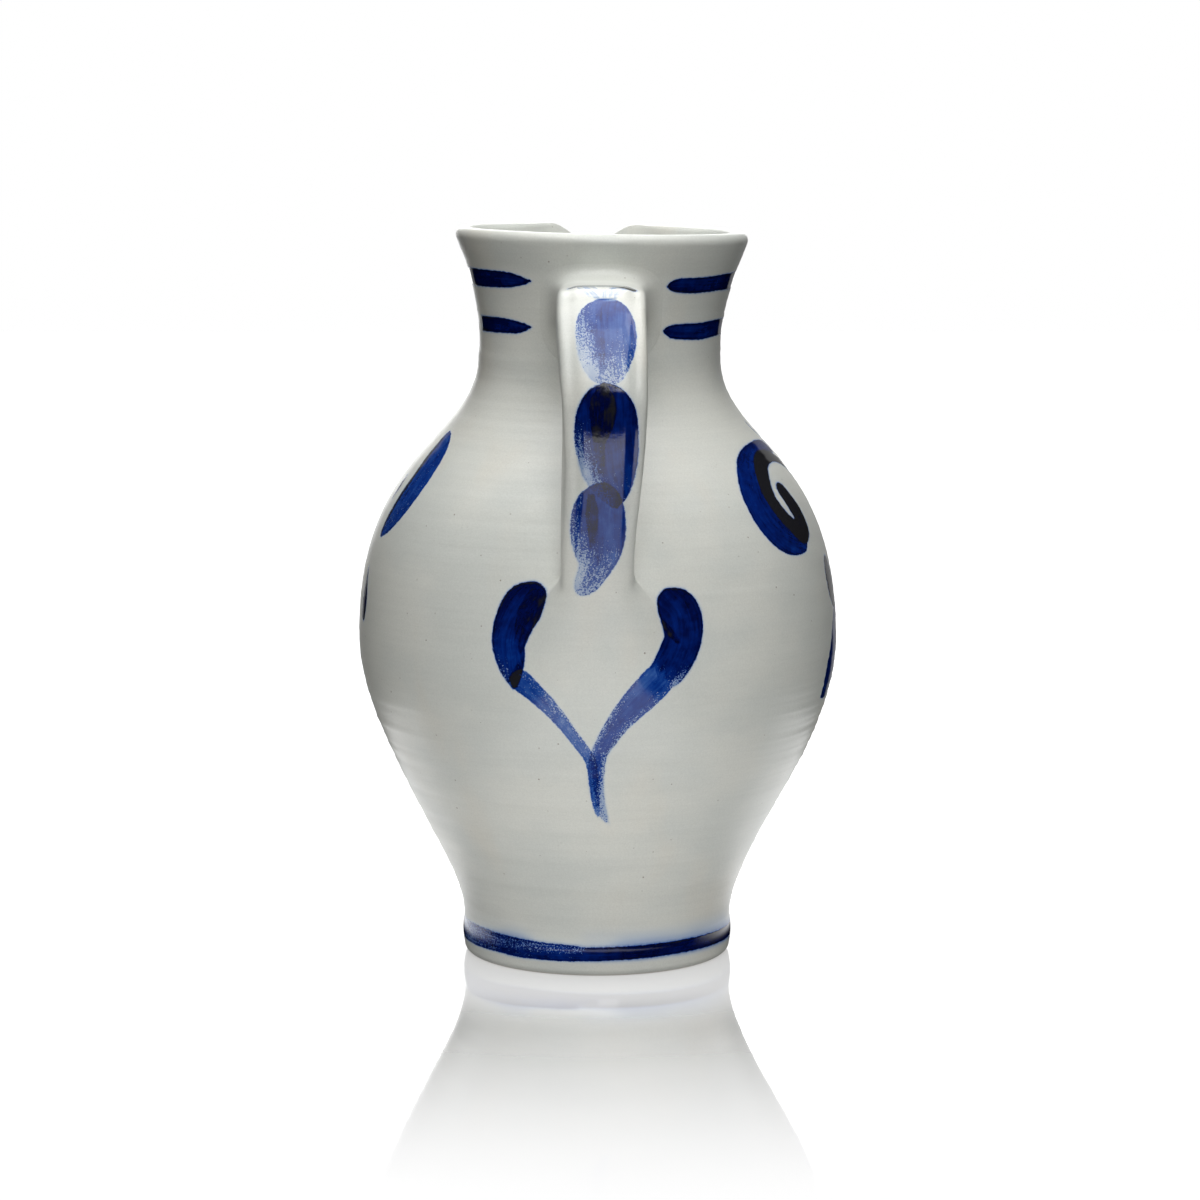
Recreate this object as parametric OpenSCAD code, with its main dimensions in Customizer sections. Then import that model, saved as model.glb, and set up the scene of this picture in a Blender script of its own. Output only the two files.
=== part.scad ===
// Salt-glazed stoneware jug: a thrown pot with a pulled pouring lip, a strap handle
// and the roll of clay that is worked round the handle's upper joint.
// Millimetres, +Z up, origin at the middle of the foot. The handle is on -Y, the lip on +Y.

/* [Pot] */
// Height from the table to the rim
height = 190; // [175:1:220]
// Outer diameter of the foot
foot_d = 70; // [62:1:80]
// Outer diameter at the widest part of the belly
belly_d = 125; // [115:1:135]
// Height of the widest part of the belly
belly_z = 84; // [75:1:95]
// Outer diameter at the narrowest part of the neck
neck_d = 63; // [58:1:68]
// Height of the narrowest part of the neck
neck_z = 157; // [150:1:162]
// Outer diameter of the rim
rim_d = 75.5; // [72:0.5:86]

/* [Wall] */
// Thickness of the belly, shoulder and neck
wall = 4.5; // [3.5:0.1:6]
// Thickness of the bottom
base_wall = 7; // [5:0.5:10]
// Thickness of the rim, which is rounded over
rim_wall = 4.2; // [3.4:0.1:5.5]
// How far the rim's bead stands out from the neck
lip_bead = 0.5; // [0.2:0.1:1]

/* [Pouring lip] */
// How far the lip is pulled out from the rim
spout_reach = 12; // [8:0.5:15]
// How far the lip's edge dips below the rim
spout_drop = 6; // [3:0.5:8]
// How far the fingers press the rim in beside the lip
spout_pinch = 1; // [0.4:0.1:2]
// Thickness of the rim at the lip's tip, where the pull thins it
spout_wall_t = 3.5; // [3:0.1:5]

/* [Handle] */
// Width of the strap at its top
strap_top_w = 22; // [18:0.5:26]
// Width of the strap above its lower joint
strap_low_w = 18; // [15:0.5:22]
// Thickness of the strap
strap_t = 9; // [7:0.5:11]
// Distance from the pot's axis to the strap's back
handle_reach = 78; // [74:1:86]
// Height at which the strap stands furthest out
handle_mid_z = 151; // [145:1:156]
// How far the strap's top lies below the rim
handle_top_drop = 12; // [10:0.5:18]
// Height at which the strap begins to spread onto the belly
pad_top_z = 104; // [98:1:108]
// Width of the strap's spread lower end
pad_w = 35; // [30:1:42]
// Length of the strap's spread lower end
pad_len = 26; // [20:1:28]
// Width of the roll of clay round the upper joint
coil_w = 33; // [30:1:38]
// Height of that roll of clay on the neck
coil_h = 27; // [24:1:32]
// How far that roll of clay reaches out along the strap
coil_len = 12; // [9:1:16]

/* [Hidden] */

clay = [0.80, 0.79, 0.76];
slip = [0.76, 0.76, 0.74];

foot_r = foot_d/2;
belly_r = belly_d/2;
neck_r = neck_d/2;
rim_r = rim_d/2;

// Foot: a rounded lower edge, then a band that swells a little and draws in again
foot_round = 2.2;
foot_swell = 0.4;
foot_band_h = 9.5;
floor_fillet = 12;
foot_wall_extra = 1.5;

// How long the outline stays upright at each end of a curve, as shares of the curve's height
foot_upright_share = 0.23;
belly_low_upright_share = 0.365;
belly_high_upright_share = 0.68;
neck_low_upright_share = 0.30;
neck_high_upright_share = 0.10;
rim_straight_share = 0.70;
rim_slope_share = 0.35;

// The rounded corner between the floor and the wall inside, as shares of its size
floor_flat_share = 0.33;
floor_turn_share = 0.17;

outline_steps = 14;
mouth_steps = 11;
lip_steps = 5;
mouth_sides = 96;
mouth_ledge_w = 0.1;

// The lip's shape round the rim, in degrees from its middle
spout_half_angle = 38;
drop_half_angle = 18;
pinch_angle = 46;
pinch_half_angle = 24;
spout_rise_power = 1.8;
bead_start_share = 0.86;

// Handle: how deep its ends are let into the pot before they are trimmed to its surface
let_in = 4;
coil_let_in = 4.5;
pad_let_in = 1;
strap_sides = 24;
root_steps = 7;
bow_steps = 9;
tail_steps = 13;
root_r = neck_r - let_in;
crest_r = 55;
strap_back_power = 3;
root_power = 2;

// How far each curve of the strap's rails keeps its direction, as shares of its run
root_level_share = 0.4;
root_crest_share = 0.7;
back_level_share = 0.60;
back_upright_share = 0.4;
back_hang_share = 0.13;
back_landing_share = 0.35;
grip_level_share = 0.6;
grip_upright_share = 0.22;
grip_hang_share = 0.12;
grip_landing_share = 0.5;
pad_spread_share = 0.53;

function point_on_curve(a, b, c, d, t) =
    a*(1 - t)^3 + 3*b*t*(1 - t)^2 + 3*c*t^2*(1 - t) + d*t^3;
function smooth(t) = let (s = max(0, min(1, t))) s*s*(3 - 2*s);
function mix(a, b, t) = a + (b - a)*t;
function unit(v) = v/norm(v);
// 1 in the middle of a swelling and 0 at its ends, for x from -1 to 1
function swelling(x) = abs(x) < 1 ? (1 + cos(180*x))/2 : 0;

// Outer outline of the pot up to the narrowest part of the neck, as [radius, height]

belly_rise = belly_z - foot_band_h;
shoulder_rise = neck_z - belly_z;

foot_edge = [for (i = [0 : 4]) let (a = -90 + 90*i/4)
    [foot_r - foot_round + foot_round*cos(a), foot_round + foot_round*sin(a)]];
foot_band = [for (i = [1 : 4]) let (t = i/5)
    [foot_r + foot_swell*sin(180*t), mix(foot_round, foot_band_h, t)]];
belly_curve = [for (i = [0 : outline_steps]) point_on_curve(
    [foot_r, foot_band_h],
    [foot_r, foot_band_h + foot_upright_share*belly_rise],
    [belly_r, belly_z - belly_low_upright_share*belly_rise],
    [belly_r, belly_z], i/outline_steps)];
shoulder_curve = [for (i = [1 : outline_steps]) point_on_curve(
    [belly_r, belly_z],
    [belly_r, belly_z + belly_high_upright_share*shoulder_rise],
    [neck_r, neck_z - neck_low_upright_share*shoulder_rise],
    [neck_r, neck_z], i/outline_steps)];
wall_curve = concat(belly_curve, shoulder_curve);
outer_outline = concat(foot_edge, foot_band, wall_curve);

// Inner outline: the outer one moved in square to the wall, with a rounded corner at the floor

function outline_dir(pts, i) = i == 0 || i == len(pts) - 1 ? [0, 1]
    : unit(pts[i + 1] - pts[i - 1]);
function wall_at(z) = wall + foot_wall_extra*(1 - smooth((z - foot_band_h)/belly_rise));
function moved_in(pts, i) = let (d = outline_dir(pts, i))
    pts[i] - wall_at(pts[i][1])*[d[1], -d[0]];
floor_top = base_wall + floor_fillet;
inner_wall = [for (i = [0 : len(wall_curve) - 1]) let (p = moved_in(wall_curve, i))
    if (p[1] > floor_top) p];
floor_corner = [for (i = [0 : 6]) let (t = i/7, p = inner_wall[0])
    point_on_curve(
        [p[0] - floor_fillet, base_wall],
        [p[0] - floor_flat_share*floor_fillet, base_wall],
        [p[0] - floor_turn_share*floor_fillet, base_wall + floor_flat_share*floor_fillet], p, t)];
inner_outline = concat([[0, base_wall]], floor_corner, inner_wall);

// The mouth: rings from the narrowest part of the neck up to the rim, pulled out for pouring.
// The angle a runs round the pot and is 0 in the middle of the pouring lip. The mouth is a hair
// wider than the round neck under it, so the two meet on a clean ledge all round.

flare_angle = atan(rim_slope_share);
mouth_top_z = height - rim_wall/2*(1 + sin(flare_angle));
mouth_rise = mouth_top_z - neck_z;
mouth_top_r = rim_r - lip_bead;
straight = rim_straight_share*mouth_rise;

function neck_point(u) = point_on_curve(
    [neck_r + mouth_ledge_w, neck_z],
    [neck_r + mouth_ledge_w, neck_z + neck_high_upright_share*mouth_rise],
    [mouth_top_r - rim_slope_share*straight, mouth_top_z - straight],
    [mouth_top_r, mouth_top_z], u);
function pull(u) = u^spout_rise_power;
function pulled_out(a) = spout_reach*swelling(a/spout_half_angle)
    - spout_pinch*swelling((abs(a) - pinch_angle)/pinch_half_angle);
function mouth_point(a, u) =
    let (p = neck_point(u),
         bead = lip_bead*smooth((u - bead_start_share)/(1 - bead_start_share)),
         r = p[0] + bead + pulled_out(a)*pull(u),
         z = p[1] - spout_drop*swelling(a/drop_half_angle)*pull(u))
    [r*sin(a), r*cos(a), z];

step_a = 360/mouth_sides;
step_u = 1/mouth_steps;
function up_dir(a, u) = u == 0 ? [0, 0, 1]
    : unit(mouth_point(a, u) - mouth_point(a, u - step_u/2));
function out_dir(a, u) = let (
    along = mouth_point(a - step_a/2, u) - mouth_point(a + step_a/2, u))
    unit(cross(along, up_dir(a, u)));
function mouth_wall(a, u) = mix(mix(wall, rim_wall, u), spout_wall_t,
    swelling(a/spout_half_angle)*pull(u));
function inner_mouth_point(a, u) = mouth_point(a, u) - mouth_wall(a, u)*out_dir(a, u);
function lip_point(a, turn) =
    let (half = mouth_wall(a, 1)/2, n = out_dir(a, 1))
    mouth_point(a, 1) - half*n + half*(cos(turn)*n + sin(turn)*up_dir(a, 1));

angles = [for (i = [0 : mouth_sides - 1]) 180 - i*step_a];
outer_rings = [for (k = [0 : mouth_steps]) [for (a = angles) mouth_point(a, k*step_u)]];
lip_rings = [for (k = [1 : lip_steps]) [for (a = angles) lip_point(a, 180*k/(lip_steps + 1))]];
inner_rings = [for (k = [mouth_steps : -1 : 0])
    [for (a = angles) inner_mouth_point(a, k*step_u)]];

// A solid skinned over rings of points. A closed loop of rings has no end caps.
module skin(rings, loop = false) {
    n = len(rings[0]);
    last = len(rings) - 1;
    spans = loop ? last : last - 1;
    sides = [for (j = [0 : spans], i = [0 : n - 1])
        let (k = (j + 1)%len(rings), m = (i + 1)%n)
        each [[j*n + i, k*n + i, k*n + m], [j*n + i, k*n + m, j*n + m]]];
    caps = loop ? [] : [[for (i = [0 : n - 1]) i], [for (i = [n - 1 : -1 : 0]) last*n + i]];
    polyhedron(points = [for (r = rings) each r], faces = concat(sides, caps), convexity = 6);
}

module thrown_wall() {
    rotate_extrude($fn = mouth_sides)
        polygon(concat(inner_outline,
            [for (i = [len(outer_outline) - 1 : -1 : 0]) outer_outline[i]], [[0, 0]]));
}

module mouth() {
    skin(concat(outer_rings, lip_rings, inner_rings), loop = true);
}

module body() {
    color(clay) {
        thrown_wall();
        mouth();
    }
}

// The pot as a solid lump with a level top, which trims the handle and the coil to its surface
lump_top = [for (p = outer_rings[mouth_steps]) [p[0], p[1], height]];
module pot_lump() {
    rotate_extrude($fn = mouth_sides)
        polygon(concat([[0, 0]], outer_outline, [[0, neck_z]]));
    skin(concat(outer_rings, [lump_top]));
}

// The strap lies between two rails in the plane of the handle, given as [distance out, height].

crest_z = height - handle_top_drop;
root_low_z = crest_z - strap_t - let_in;
pad_low_z = pad_top_z - pad_len;
pad_sunk_r = belly_r - pad_let_in;
inner_mid_r = handle_reach - strap_t;

function rail(points, t) = point_on_curve(points[0], points[1], points[2], points[3], t);
function along_rails(t, root, bow, tail) = t < 1 ? rail(root, t)
    : t < 2 ? rail(bow, t - 1) : rail(tail, t - 2);

bow_down = crest_z - handle_mid_z;
tail_down = handle_mid_z - pad_low_z;
root_level_r = mix(root_r, crest_r, root_level_share);
root_crest_r = mix(root_r, crest_r, root_crest_share);
grip_z = crest_z - strap_t;

back_root = [[root_r, crest_z + let_in/2], [root_level_r, crest_z],
    [root_crest_r, crest_z], [crest_r, crest_z]];
back_bow = [[crest_r, crest_z], [mix(crest_r, handle_reach, back_level_share), crest_z],
    [handle_reach, handle_mid_z + back_upright_share*bow_down], [handle_reach, handle_mid_z]];
back_tail = [[handle_reach, handle_mid_z],
    [handle_reach, handle_mid_z - back_hang_share*tail_down],
    [belly_r + pad_let_in, pad_low_z + back_landing_share*tail_down],
    [pad_sunk_r, pad_low_z]];
grip_root = [[root_r, root_low_z], [root_level_r, grip_z],
    [root_crest_r, grip_z], [crest_r, grip_z]];
grip_bow = [[crest_r, grip_z], [mix(crest_r, inner_mid_r, grip_level_share), grip_z],
    [inner_mid_r, handle_mid_z + grip_upright_share*bow_down], [inner_mid_r, handle_mid_z]];
grip_tail = [[inner_mid_r, handle_mid_z],
    [inner_mid_r, handle_mid_z - grip_hang_share*tail_down],
    [pad_sunk_r, pad_low_z + grip_landing_share*tail_down],
    [belly_r - 2*let_in, pad_low_z + let_in]];

function strap_width(t) =
    let (z = along_rails(t, back_root, back_bow, back_tail)[1],
         slim = mix(strap_low_w, strap_top_w, smooth((z - pad_top_z)/(crest_z - pad_top_z))),
         spread = t < 2 ? 0 : smooth((pad_top_z - z)/(pad_spread_share*pad_len)))
    mix(slim, pad_w, spread);

// One ring round the strap. Where hug is 1, it bends round the pot's axis as the wall does.
function strap_ring(back, grip, w, power, hug) =
    [for (i = [0 : strap_sides - 1])
        let (a = 360*i/strap_sides,
             cx = sign(cos(a))*pow(abs(cos(a)), 2/power),
             cy = sign(sin(a))*pow(abs(sin(a)), 2/power),
             p = (back + grip)/2 + cy*(back - grip)/2,
             x = cx*w/2,
             turn = x/p[0]*180/PI)
        [mix(x, p[0]*sin(turn), hug), -mix(p[0], p[0]*cos(turn), hug), p[1]]];

strap_places = concat([for (i = [0 : root_steps - 1]) i/root_steps],
    [for (i = [0 : bow_steps - 1]) 1 + i/bow_steps],
    [for (i = [0 : tail_steps]) 2 + i/tail_steps]);

module strap() {
    skin([for (t = strap_places)
        let (near_pot = t < 1 ? 1 - t : max(0, t - 2))
        strap_ring(
            along_rails(t, back_root, back_bow, back_tail),
            along_rails(t, grip_root, grip_bow, grip_tail),
            strap_width(t), mix(strap_back_power, root_power, near_pot), near_pot)]);
}

module handle() {
    color(clay)
        difference() {
            strap();
            pot_lump();
        }
}

// The coil thins out from the neck towards the strap, in a hollow curve.

coil_mid_z = crest_z - strap_t/2;
neck_radii = [for (k = [0 : mouth_steps]) let (p = neck_point(k*step_u)) [p[1], p[0]]];
coil_root_r = lookup(coil_mid_z, neck_radii) - coil_let_in;
coil_reach = coil_len + coil_let_in;
coil_steps = 7;
coil_skin = 0.6;

function coil_ring(s) =
    let (thin = (1 - s)^2,
         r = coil_root_r + s*coil_reach,
         half_h = mix(strap_t/2 + coil_skin, coil_h/2, thin),
         w = mix(strap_top_w + 2*coil_skin, coil_w, thin))
    strap_ring([r, coil_mid_z + half_h], [r, coil_mid_z - half_h], w,
        mix(strap_back_power, root_power, thin), thin);

module luting_coil() {
    color(slip)
        difference() {
            skin([for (k = [0 : coil_steps]) coil_ring(k/coil_steps)]);
            pot_lump();
            strap();
        }
}

body();
handle();
luting_coil();
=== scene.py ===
"""Salt-glazed stoneware jug with blue brush ornament, dressed over its CAD frame.

All shapes are worked out in millimetres with the same sizes as the solids, and go to metres when
a mesh is made. +Z is up, the handle is on -Y and the pouring lip on +Y. Angles round the pot are
in degrees from the handle and grow towards +X.
"""
import math
import bpy
import numpy as np
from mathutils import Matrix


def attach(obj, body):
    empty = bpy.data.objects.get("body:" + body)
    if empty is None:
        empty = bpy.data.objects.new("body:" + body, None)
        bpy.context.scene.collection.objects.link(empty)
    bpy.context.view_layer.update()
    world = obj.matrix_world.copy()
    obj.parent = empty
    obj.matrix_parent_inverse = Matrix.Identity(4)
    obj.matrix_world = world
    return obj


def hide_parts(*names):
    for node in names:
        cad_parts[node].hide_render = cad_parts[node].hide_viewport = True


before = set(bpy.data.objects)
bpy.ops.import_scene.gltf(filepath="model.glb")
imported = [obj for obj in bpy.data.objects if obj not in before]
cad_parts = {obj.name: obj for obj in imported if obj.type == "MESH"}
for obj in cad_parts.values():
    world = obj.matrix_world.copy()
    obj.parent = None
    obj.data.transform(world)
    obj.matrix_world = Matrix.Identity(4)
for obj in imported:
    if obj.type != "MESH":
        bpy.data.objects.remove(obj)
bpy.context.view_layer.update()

MM = 0.001
TURN = 360.0

# Sizes of the pot

height = 190.0
foot_r = 35.0
belly_r = 62.5
belly_z = 84.0
neck_r = 31.5
neck_z = 157.0
rim_r = 37.75
wall = 4.5
base_wall = 7.0
rim_wall = 4.2
lip_bead = 0.5
spout_reach = 12.0
spout_drop = 6.0
spout_pinch = 1.0
spout_wall_t = 3.5
foot_round = 2.2
foot_swell = 0.4
foot_band_h = 9.5
floor_fillet = 12.0
foot_wall_extra = 1.5
foot_upright_share = 0.23
belly_low_upright_share = 0.365
belly_high_upright_share = 0.68
neck_low_upright_share = 0.30
neck_high_upright_share = 0.10
rim_straight_share = 0.70
rim_slope_share = 0.35
floor_flat_share = 0.33
floor_turn_share = 0.17
spout_half_angle = 38.0
drop_half_angle = 18.0
pinch_angle = 46.0
pinch_half_angle = 24.0
spout_rise_power = 1.8
bead_start_share = 0.86

# Sizes of the handle. The shares of each rail are (level at the crest, upright above the middle,
# hanging below it).

strap_top_w = 22.0
strap_low_w = 18.0
strap_t = 9.0
handle_reach = 78.0
handle_mid_z = 151.0
crest_z = 178.0
crest_r = 55.0
pad_top_z = 104.0
pad_low_z = 78.0
pad_len = 26.0
pad_w = 35.0
let_in = 4.0
pad_let_in = 1.0
root_level_share = 0.4
root_crest_share = 0.7
back_shares = (0.60, 0.4, 0.13)
back_landing_share = 0.35
grip_shares = (0.6, 0.22, 0.12)
grip_landing_share = 0.5
pad_spread_share = 0.53
root_power = 2.0

# How fine the meshes are

pot_sides = 272
outer_step = 0.9
inner_step = 1.9
edge_steps = 12
band_steps = 18
outline_steps = 200
neck_steps = 80
strap_sides = 88
rail_steps = 1500
line_step = 0.004
join_steps = 16
luting_steps = 10
bow_steps = 75
drop_steps = 80

# What the hand made uneven: the whole pot leans a little, its rim tilts, its lip is turned, and
# the strap bows to one side. Each pair is (height, shift to +X).

lean_at = [(0, 0.0), (22, 0.0), (32, -0.2), (41, 0.0), (55, 0.45), (70, 0.35), (85, 0.2), (100, 0.1),
           (140, 0.3), (148, 0.5), (157, 0.65), (167, 1.0), (183, 1.35), (190, 1.2)]
bow_at = [(95, 0.0), (105, 0.3), (126, 1.4), (140, 1.6), (152, 1.4), (165, 0.6), (178, -0.1),
          (190, -0.1)]
bow_above_z = 85.0
bow_r = (64.0, 74.0)
rim_tilt = 0.022
tilt_from_z = 158.0
lip_turn = 3.0


# Small helpers

def curve(a, b, c, d, t):
    t = np.asarray(t, float)[..., None]
    a, b, c, d = (np.asarray(p, float) for p in (a, b, c, d))
    return a*(1 - t)**3 + 3*b*t*(1 - t)**2 + 3*c*t**2*(1 - t) + d*t**3


def smooth(t):
    s = np.clip(t, 0, 1)
    return s*s*(3 - 2*s)


def rise(x, span):
    return smooth((x - span[0])/(span[1] - span[0]))


def mix(a, b, t):
    return a + (b - a)*t


def swelling(x):
    x = np.clip(np.abs(x), 0, 1)
    return (1 + np.cos(math.pi*x))/2


def table(pairs, x):
    xs, ys = zip(*pairs)
    return np.interp(x, xs, ys)


def wrapped(a):
    return (np.asarray(a, float) + TURN/2) % TURN - TURN/2


def unit(v):
    return v/np.maximum(np.linalg.norm(v, axis=-1, keepdims=True), 1e-9)


def out_from_axis(p):
    return np.hypot(p[..., 0], p[..., 1])


def arc_length(points):
    return np.r_[0, np.cumsum(np.linalg.norm(np.diff(points, axis=0), axis=1))]


# The pot's outline as [radius, height], dense, with its length from the table upwards

def neck_point(u):
    flare = math.atan(rim_slope_share)
    top_z = height - rim_wall/2*(1 + math.sin(flare))
    neck_h = top_z - neck_z
    top_r = rim_r - lip_bead
    straight = rim_straight_share*neck_h
    p = curve([neck_r, neck_z], [neck_r, neck_z + neck_high_upright_share*neck_h],
              [top_r - rim_slope_share*straight, top_z - straight], [top_r, top_z], u)
    bead = lip_bead*smooth((np.asarray(u) - bead_start_share)/(1 - bead_start_share))
    return p + np.stack([bead, np.zeros_like(bead)], -1)


def wall_outline():
    belly_h = belly_z - foot_band_h
    shoulder = neck_z - belly_z
    t = np.linspace(0, 1, outline_steps)
    turn = np.radians(np.linspace(-90, 0, edge_steps))
    edge = np.stack([foot_r - foot_round*(1 - np.cos(turn)), foot_round*(1 + np.sin(turn))], -1)
    band_t = np.linspace(0, 1, band_steps + 2)[1:-1]
    band = np.stack([foot_r + foot_swell*np.sin(math.pi*band_t),
                     mix(foot_round, foot_band_h, band_t)], -1)
    belly = curve([foot_r, foot_band_h], [foot_r, foot_band_h + foot_upright_share*belly_h],
                  [belly_r, belly_z - belly_low_upright_share*belly_h], [belly_r, belly_z], t)
    upper = curve([belly_r, belly_z], [belly_r, belly_z + belly_high_upright_share*shoulder],
                  [neck_r, neck_z - neck_low_upright_share*shoulder], [neck_r, neck_z], t)
    return np.vstack([edge, band, belly, upper[1:]])


outline_low = wall_outline()
outline = np.vstack([outline_low, neck_point(np.linspace(0, 1, neck_steps))[1:]])
outline_arc = arc_length(outline)
low_end_arc = arc_length(outline_low)[-1]


def pot_radius(z):
    return np.interp(z, outline[:, 1], outline[:, 0])


def pot_arc(z):
    return np.interp(z, outline[:, 1], outline_arc)


def pot_slope(z):
    return pot_radius(z + 0.5) - pot_radius(z - 0.5)


def pot_distance(p):
    """Distance from the pot's outside, away from the lip: more than 0 in the open."""
    slope = pot_slope(p[..., 2])
    return (out_from_axis(p) - pot_radius(p[..., 2]))/np.sqrt(1 + slope**2)


def around(a, r, z):
    a = np.radians(a)
    return np.stack(np.broadcast_arrays(r*np.sin(a), -r*np.cos(a), z), -1)


# How the hand moved the clay: one warp for every piece

def warp(p):
    q = p.copy()
    r = out_from_axis(p)
    z = p[..., 2]
    out = rise(r, bow_r)*(z > bow_above_z)
    q[..., 0] += table(lean_at, z) + table(bow_at, z)*out
    q[..., 2] -= rim_tilt*p[..., 0]*rise(z, (tilt_from_z, height))
    return q


# Rings left by the potter's fingers: spirals that climb one pitch a turn, as (pitch, share, phase)

ring_set = [(2.3, 0.50, 0.0), (3.9, 0.35, 1.3), (1.37, 0.22, 2.1), (7.6, 0.45, 0.4)]
ring_depth_at = [(0, 0.01), (10, 0.035), (25, 0.075), (60, 0.085), (80, 0.045), (120, 0.035),
                 (150, 0.045), (165, 0.05), (183, 0.035), (188, 0.0)]
ring_swing = 0.45
ring_second_swing = 0.3
ring_swing_z = 17.0
ring_wander = 0.8
ring_wander_z = 9.0
inner_ring_depth = 0.32
inner_ring_pitch = 6.5
inner_ring_wander = 0.5
inner_ring_wander_z = 13.0
inner_ring_low_z = (20.0, 50.0)
inner_ring_high_z = (160.0, 180.0)

# Where the handle was worked on: (height, half its width, half its height)

worked_on = [(170.0, 20.0, 22.0), (88.0, 24.0, 20.0)]
worked_core = 0.8
worked_fade = 0.5


def throwing_rings(a, z):
    out = 0
    for pitch, share, phase in ring_set:
        swing = (1 + ring_swing*np.sin(np.radians(a) + 3*phase)
                 + ring_second_swing*np.sin(np.radians(2*a) + z/ring_swing_z + phase))
        climb = 2*math.pi*(z/pitch + a/TURN) + phase
        out = out + share*swing*np.sin(climb + ring_wander*np.sin(z/ring_wander_z))
    return out*table(ring_depth_at, z)


def inner_rings(a, z):
    climb = 2*math.pi*(z/inner_ring_pitch + a/TURN)
    wave = np.sin(climb + inner_ring_wander*np.sin(z/inner_ring_wander_z))
    return inner_ring_depth*wave*rise(z, inner_ring_low_z)*(1 - rise(z, inner_ring_high_z))


def near_joints(a, z):
    """1 where the handle was worked on, where no throwing ring is left, and 0 away from it."""
    x = wrapped(a)*np.radians(1)*pot_radius(z)
    away = [np.hypot(x/half_w, (z - middle_z)/half_h) for middle_z, half_w, half_h in worked_on]
    return 1 - smooth((np.minimum(*away) - worked_core)/worked_fade)


# The pot as rows of points, from the middle of its underside round to its floor inside

underside_shares = (0.3, 0.55, 0.75, 0.9, 0.97)
floor_shares = (0.86, 0.7, 0.52, 0.34, 0.16)
floor_wave = 0.25
floor_wave_turns = 9.0
lip_steps = 12
corner_steps = 10


def wall_at(z):
    return wall + foot_wall_extra*(1 - smooth((z - foot_band_h)/(belly_z - foot_band_h)))


def pulled(a, u):
    """How far the lip's shape moves the wall out and down at the angle a from the handle."""
    b = wrapped(TURN/2 - a + lip_turn)
    pull = u**spout_rise_power
    out = (spout_reach*swelling(b/spout_half_angle)
           - spout_pinch*swelling((np.abs(b) - pinch_angle)/pinch_half_angle))
    return out*pull, spout_drop*swelling(b/drop_half_angle)*pull, swelling(b/spout_half_angle)*pull


def outer_rows(angles):
    """Rows of points up the outside from the foot's band to the rim, and their wall's thickness."""
    band_arc = pot_arc(foot_band_h)
    n_low = int((low_end_arc - band_arc)/outer_step)
    arcs = np.linspace(band_arc, low_end_arc, n_low + 1)[:-1]
    low = np.stack([np.interp(arcs, outline_arc, outline[:, k]) for k in (0, 1)], -1)
    n_high = int((outline_arc[-1] - low_end_arc)/outer_step)
    u_dense = np.linspace(0, 1, outline_steps)
    dense_arc = arc_length(neck_point(u_dense))
    u = np.interp(np.linspace(0, 1, n_high + 1), dense_arc/dense_arc[-1], u_dense)
    profile = np.vstack([low, neck_point(u)])
    u_all = np.r_[np.zeros(len(low)), u][:, None]
    out, down, thin = pulled(angles[None, :], u_all)
    r = profile[:, :1] + out
    z = profile[:, 1:] - down
    thick = np.where(u_all > 0, mix(mix(wall, rim_wall, u_all), spout_wall_t, thin), wall_at(z))
    return around(angles[None, :], r, z), thick


def row_normals(rows):
    along_row = np.roll(rows, -1, axis=1) - np.roll(rows, 1, axis=1)
    return unit(np.cross(along_row, np.gradient(rows, axis=0)))


def floor_rows(last, angles):
    """Rows from the wall's lowest inner row round the fillet and over the floor."""
    last_r = out_from_axis(last)
    wall_end = np.stack([np.full_like(last_r, floor_fillet), last[:, 2]], -1)
    corner = []
    for t in np.linspace(1, 0, corner_steps + 1)[1:]:
        p = curve([0, base_wall], [floor_fillet*(1 - floor_flat_share), base_wall],
                  [floor_fillet*(1 - floor_turn_share), base_wall + floor_flat_share*floor_fillet],
                  wall_end, t)
        corner.append(around(angles, last_r - floor_fillet + p[:, 0], p[:, 1]))
    floor_r = out_from_axis(corner[-1]).mean()
    floor = []
    for s in floor_shares:
        wave = floor_wave*math.cos(floor_wave_turns*s)*s*(1 - s)
        floor.append(around(angles, floor_r*s, base_wall + wave))
    return corner + floor


def pot_rows():
    """The rows, which of them take paint, and the middles of the underside and the floor."""
    angles = np.arange(pot_sides)*TURN/pot_sides - TURN/2
    rows, thick = outer_rows(angles)
    normals = row_normals(rows)
    a = np.broadcast_to(angles[None, :], rows.shape[:2])
    z = rows[..., 2]
    relief = throwing_rings(a, z)*(1 - near_joints(a, z))
    outside = rows + relief[..., None]*normals

    under = [around(angles, share*(foot_r - foot_round), 0.0) for share in underside_shares]
    band = outline_low[edge_steps:edge_steps + band_steps:2]
    foot = [around(angles, *point) for point in np.vstack([outline_low[:edge_steps], band])]

    half = thick[-1][:, None]/2
    up = unit(rows[-1] - rows[-2])
    lip = [rows[-1] - half*normals[-1] + half*(math.cos(t)*normals[-1] + math.sin(t)*up)
           for t in np.linspace(0, math.pi, lip_steps + 2)[1:-1]]

    inner = rows - (thick - inner_rings(a, z))[..., None]*normals
    above_floor = np.flatnonzero(inner[:, 0, 2] > base_wall + floor_fillet)
    inner = inner[above_floor[::-1][::round(inner_step/outer_step)]]
    floor = floor_rows(inner[-1], angles)

    painted = [False]*len(under) + [True]*(len(foot) + len(outside))
    all_rows = under + foot + list(outside) + lip + list(inner) + floor
    painted += [False]*(len(all_rows) - len(painted))
    ends = (np.array([0, 0, 0.0]), np.array([0, 0, base_wall]))
    return np.stack(all_rows), np.array(painted), ends


# The strap between its two rails, given as [distance out, height], for t from 0 at the neck,
# over 1 at the crest and 2 where it stands furthest out, to 3 at its landing on the belly

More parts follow.
